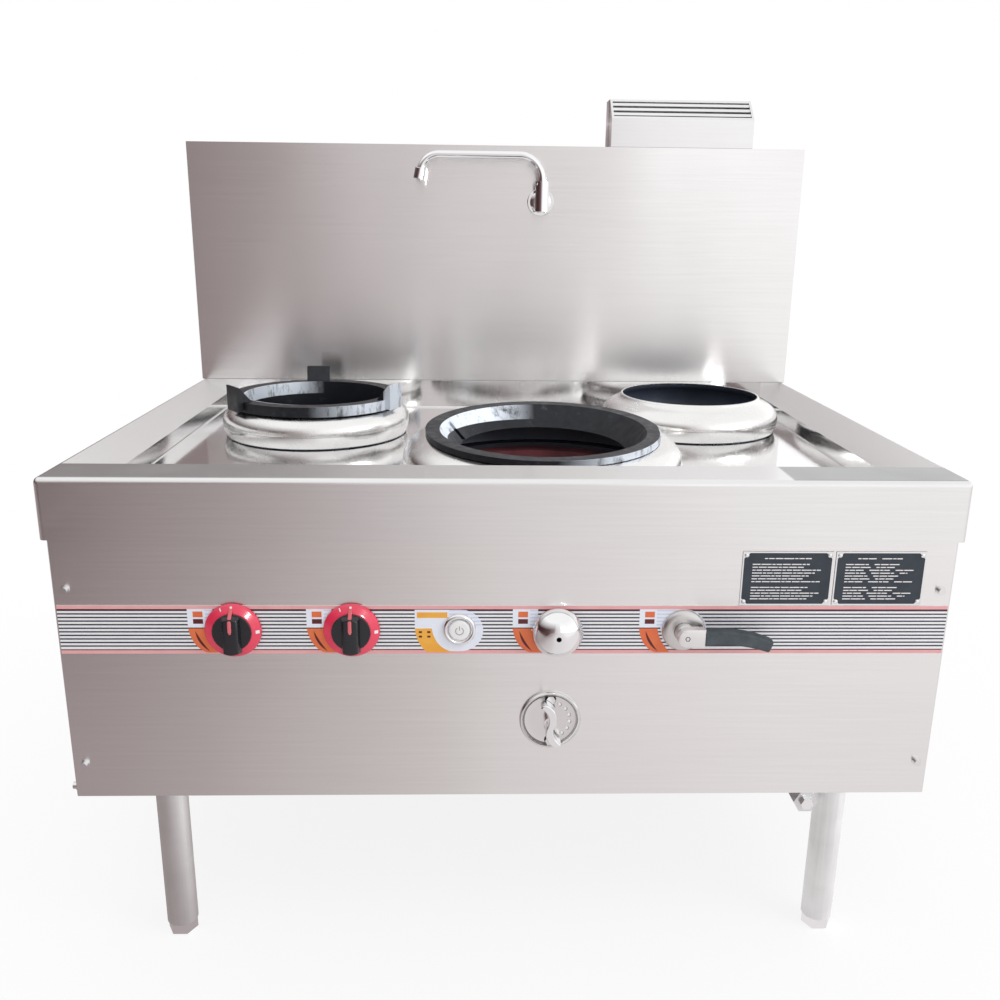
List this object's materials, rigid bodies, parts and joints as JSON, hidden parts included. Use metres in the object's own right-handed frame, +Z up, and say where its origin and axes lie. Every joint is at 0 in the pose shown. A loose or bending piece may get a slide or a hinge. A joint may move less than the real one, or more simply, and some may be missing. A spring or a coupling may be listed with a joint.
{
  "type": "wok range",
  "caption": "Free-standing stainless wok range with two forced-air wok burners, a warming well, a back splash with a swing faucet, a flue, a control panel and four legs.",
  "frame": {"origin": "on the floor, under the centre of the bounding box", "axes": "+Z up, +X to the cook's right, +Y away from the cook"},
  "size_m": [1.4, 1.137, 1.456],
  "materials": {
    "worktop_steel": "brushed stainless sheet, polished deck",
    "panel_steel": "brushed stainless sheet",
    "collar_steel": "spun and polished stainless",
    "hood_steel": "satin stainless sheet",
    "frame_steel": "mill-finished square tube and plate",
    "duct_steel": "galvanised sheet",
    "chamber_steel": "heat-darkened sheet",
    "chrome": "polished chrome",
    "cast_iron": "black cast iron, worn",
    "firebrick": "fired refractory",
    "brass": "turned brass",
    "pipe_steel": "galvanised gas pipe",
    "plug_steel": "plated steel",
    "water_pipe": "stainless pipe",
    "knob_red": "glossy red",
    "knob_black": "black",
    "cap_steel": "satin cap",
    "grip_rubber": "moulded rubber",
    "strip_print": "printed laminate, white with navy lines and red borders",
    "plate_dark": "dark blank field in a silver border",
    "motor_paint": "painted",
    "wheel_steel": "pressed sheet"
  },
  "bodies": {
    "root": {"worktop": "worktop_steel", "back_splash": "worktop_steel", "splash_back_cover": "worktop_steel", "front_panel": "panel_steel", "left_side_panel": "panel_steel", "right_side_panel": "panel_steel", "rear_panel": "panel_steel", "legs": "panel_steel", "left_collar": "collar_steel", "centre_collar": "collar_steel", "warmer_collar": "collar_steel", "flue_hood": "hood_steel", "flue_louvres": "hood_steel", "base_rails": "frame_steel", "upper_frame": "frame_steel", "leg_fittings": "frame_steel", "brackets": "frame_steel", "air_ducts": "duct_steel", "flue_riser": "duct_steel", "fire_tunnels": "duct_steel", "blower_housing": "duct_steel", "fire_chambers": "chamber_steel", "lever_rose": "chrome", "button_switch": "chrome", "faucet_socket": "chrome", "regulator_plate": "chrome", "burner_heads": "cast_iron", "firebrick_linings": "firebrick", "gas_valves": "brass", "water_valves": "brass", "gas_main_pipe": "pipe_steel", "gas_pipework": "pipe_steel", "gas_plug": "plug_steel", "panel_screws": "plug_steel", "nameplate_rivets": "plug_steel", "water_pipes": "water_pipe", "control_strip": "strip_print", "nameplates": "plate_dark", "blower_motor": "motor_paint"},
    "left_gas_knob": {"left_knob_skirt": "knob_red", "left_knob_grip": "knob_black", "left_valve_stem": "plug_steel"},
    "centre_gas_knob": {"centre_knob_skirt": "knob_red", "centre_knob_grip": "knob_black", "centre_valve_stem": "plug_steel"},
    "power_button": {"button_cap": "cap_steel"},
    "dome_tap": {"dome_knob": "chrome"},
    "lever": {"lever_arm": "chrome", "lever_grip": "grip_rubber"},
    "regulator": {"regulator_handle": "chrome", "damper": "plug_steel"},
    "spout": {"faucet_spout": "chrome", "spout_aerator": "chrome"},
    "left_ring": {"left_wok_ring": "cast_iron"},
    "centre_ring": {"centre_wok_ring": "cast_iron"},
    "impeller": {"blower_impeller": "wheel_steel"},
    "front_left_levelling_foot": {"front_left_foot": "chrome"},
    "front_right_levelling_foot": {"front_right_foot": "chrome"},
    "rear_left_levelling_foot": {"rear_left_foot": "chrome"},
    "rear_right_levelling_foot": {"rear_right_foot": "chrome"}
  },
  "joints": [
    {"name": "left_gas_turn", "type": "hinge", "parent": "root", "child": "left_gas_knob", "pos_m": [-0.421, -0.5295, 0.575], "axis": [0, -1, 0], "range_deg": [0, 90]},
    {"name": "centre_gas_turn", "type": "hinge", "parent": "root", "child": "centre_gas_knob", "pos_m": [-0.24, -0.5295, 0.575], "axis": [0, -1, 0], "range_deg": [0, 90]},
    {"name": "button_press", "type": "slide", "parent": "root", "child": "power_button", "axis": [0, 1, 0], "range_m": [0, 0.003], "stiffness_N_per_m": 800},
    {"name": "dome_turn", "type": "hinge", "parent": "root", "child": "dome_tap", "pos_m": [0.077, -0.5295, 0.575], "axis": [0, -1, 0], "range_deg": [0, 90]},
    {"name": "lever_turn", "type": "hinge", "parent": "root", "child": "lever", "pos_m": [0.2735, -0.5295, 0.575], "axis": [0, 1, 0], "range_deg": [0, 90]},
    {"name": "regulator_turn", "type": "hinge", "parent": "root", "child": "regulator", "pos_m": [0.07, -0.5285, 0.421], "axis": [0, 1, 0], "range_deg": [0, 115]},
    {"name": "spout_swing", "type": "hinge", "parent": "root", "child": "spout", "pos_m": [0.0986, 0.3685, 1.227], "axis": [0, 0, 1], "range_deg": [0, 180]},
    {"name": "left_ring_lift", "type": "slide", "parent": "root", "child": "left_ring", "axis": [0, 0, 1], "range_m": [0, 0.15]},
    {"name": "centre_ring_lift", "type": "slide", "parent": "root", "child": "centre_ring", "axis": [0, 0, 1], "range_m": [0, 0.15]},
    {"name": "impeller_spin", "type": "hinge", "parent": "root", "child": "impeller", "pos_m": [0.38, -0.2015, 0.461], "axis": [1, 0, 0], "continuous": true},
    {"name": "front_left_foot_turn", "type": "hinge", "parent": "root", "child": "front_left_levelling_foot", "pos_m": [-0.552, -0.4865, 0.022], "axis": [0, 0, 1], "continuous": true},
    {"name": "front_right_foot_turn", "type": "hinge", "parent": "root", "child": "front_right_levelling_foot", "pos_m": [0.552, -0.4865, 0.022], "axis": [0, 0, 1], "continuous": true},
    {"name": "rear_left_foot_turn", "type": "hinge", "parent": "root", "child": "rear_left_levelling_foot", "pos_m": [-0.552, 0.4835, 0.022], "axis": [0, 0, 1], "continuous": true},
    {"name": "rear_right_foot_turn", "type": "hinge", "parent": "root", "child": "rear_right_levelling_foot", "pos_m": [0.552, 0.4835, 0.022], "axis": [0, 0, 1], "continuous": true}
  ]
}
